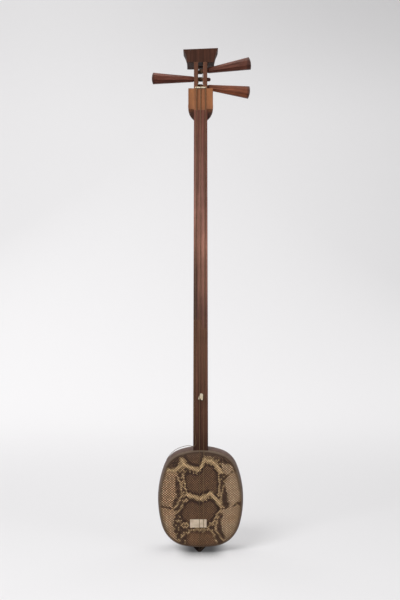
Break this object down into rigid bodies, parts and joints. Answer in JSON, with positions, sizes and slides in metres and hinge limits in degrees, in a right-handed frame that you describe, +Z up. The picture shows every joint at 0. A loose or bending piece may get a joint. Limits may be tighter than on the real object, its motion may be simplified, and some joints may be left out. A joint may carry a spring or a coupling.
{
  "type": "sanxian",
  "caption": "Small long-necked fretless lute with a snakeskin-faced wooden drum, turning side pegs, a splice in its neck and a pointed tail.",
  "frame": {"origin": "lowest end of the tail, below the middle of the neck and midway through the depth of the drum", "axes": "+Z up along the neck, -Y out of the front skin, +X to the right seen from the front"},
  "size_m": [0.1943, 0.0664, 0.9799],
  "materials": {
    "head_wood": "satin dark rosewood",
    "pegbox_wood": "satin rosewood",
    "ear_wood": "satin orange-brown wood",
    "neck_wood": "satin red-brown wood",
    "neck_wood_dark": "satin dark brown wood",
    "peg_wood": "satin reddish rosewood",
    "frame_wood": "satin dark brown wood",
    "tail_wood": "satin dark wood",
    "snakeskin": "semi-gloss scaled skin",
    "bone": "polished bone",
    "string": "smooth translucent string",
    "paper": "matt aged paper"
  },
  "bodies": {
    "root": {"head_block": "head_wood", "pegbox": "pegbox_wood", "ear_left": "ear_wood", "ear_right": "ear_wood", "nut": "bone", "neck_upper": "neck_wood", "neck_lower": "neck_wood_dark", "string_left": "string", "string_middle": "string", "string_right": "string", "string_knots": "string", "frame_top": "frame_wood", "frame_left": "frame_wood", "frame_right": "frame_wood", "frame_bottom": "frame_wood", "front_skin": "snakeskin", "back_skin": "snakeskin", "tail_block": "tail_wood", "bridge": "bone", "paper_label": "paper"},
    "left_peg": {"peg_left": "peg_wood", "winding_left": "string"},
    "upper_right_peg": {"peg_upper_right": "peg_wood", "winding_right": "string"},
    "lower_right_peg": {"peg_lower_right": "peg_wood", "winding_middle": "string"}
  },
  "joints": [
    {"name": "left_peg_turn", "type": "hinge", "parent": "root", "child": "left_peg", "pos_m": [0, -0.015, 0.9218], "axis": [-0.9998, 0, 0.0192], "continuous": true},
    {"name": "upper_right_peg_turn", "type": "hinge", "parent": "root", "child": "upper_right_peg", "pos_m": [0, -0.015, 0.9366], "axis": [0.9854, 0, 0.1702], "continuous": true},
    {"name": "lower_right_peg_turn", "type": "hinge", "parent": "root", "child": "lower_right_peg", "pos_m": [0, -0.015, 0.9078], "axis": [0.9923, 0, -0.1236], "continuous": true}
  ]
}
